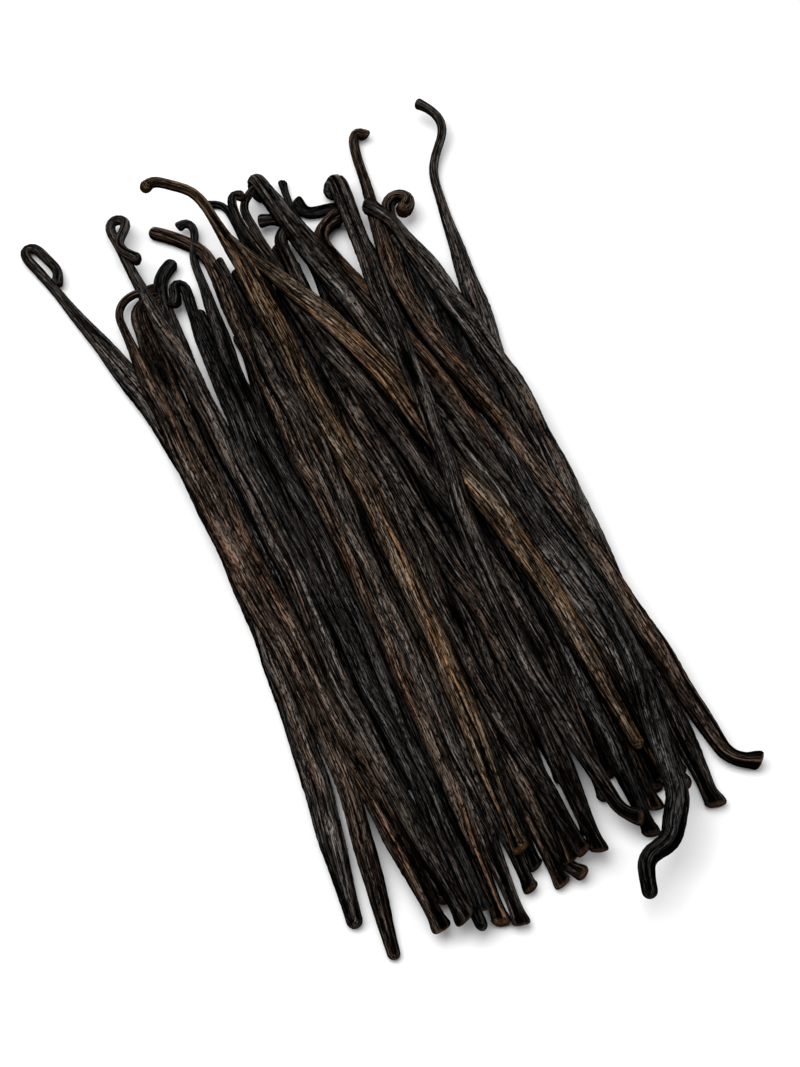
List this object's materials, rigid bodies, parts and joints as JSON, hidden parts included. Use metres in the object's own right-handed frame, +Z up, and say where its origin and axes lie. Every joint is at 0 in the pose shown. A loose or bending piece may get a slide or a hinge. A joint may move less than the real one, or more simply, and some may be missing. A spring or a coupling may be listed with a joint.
{
  "type": "bundle of vanilla pods",
  "caption": "A loose flat bundle of long cured vanilla pods with hooked stalk ends, lying side by side and across each other.",
  "frame": {"origin": "middle of the bundle's outline seen from above, on the table that it lies on", "axes": "+Y along the pods towards their hooked stalk ends, +X across the bundle to the right seen with the stalk ends away, +Z up from the table"},
  "size_m": [0.1058, 0.2076, 0.0166],
  "materials": {
    "vanilla_pod": "wrinkled, oily satin"
  },
  "bodies": {
    "root": {"vanilla_pods": "vanilla_pod"}
  },
  "joints": []
}
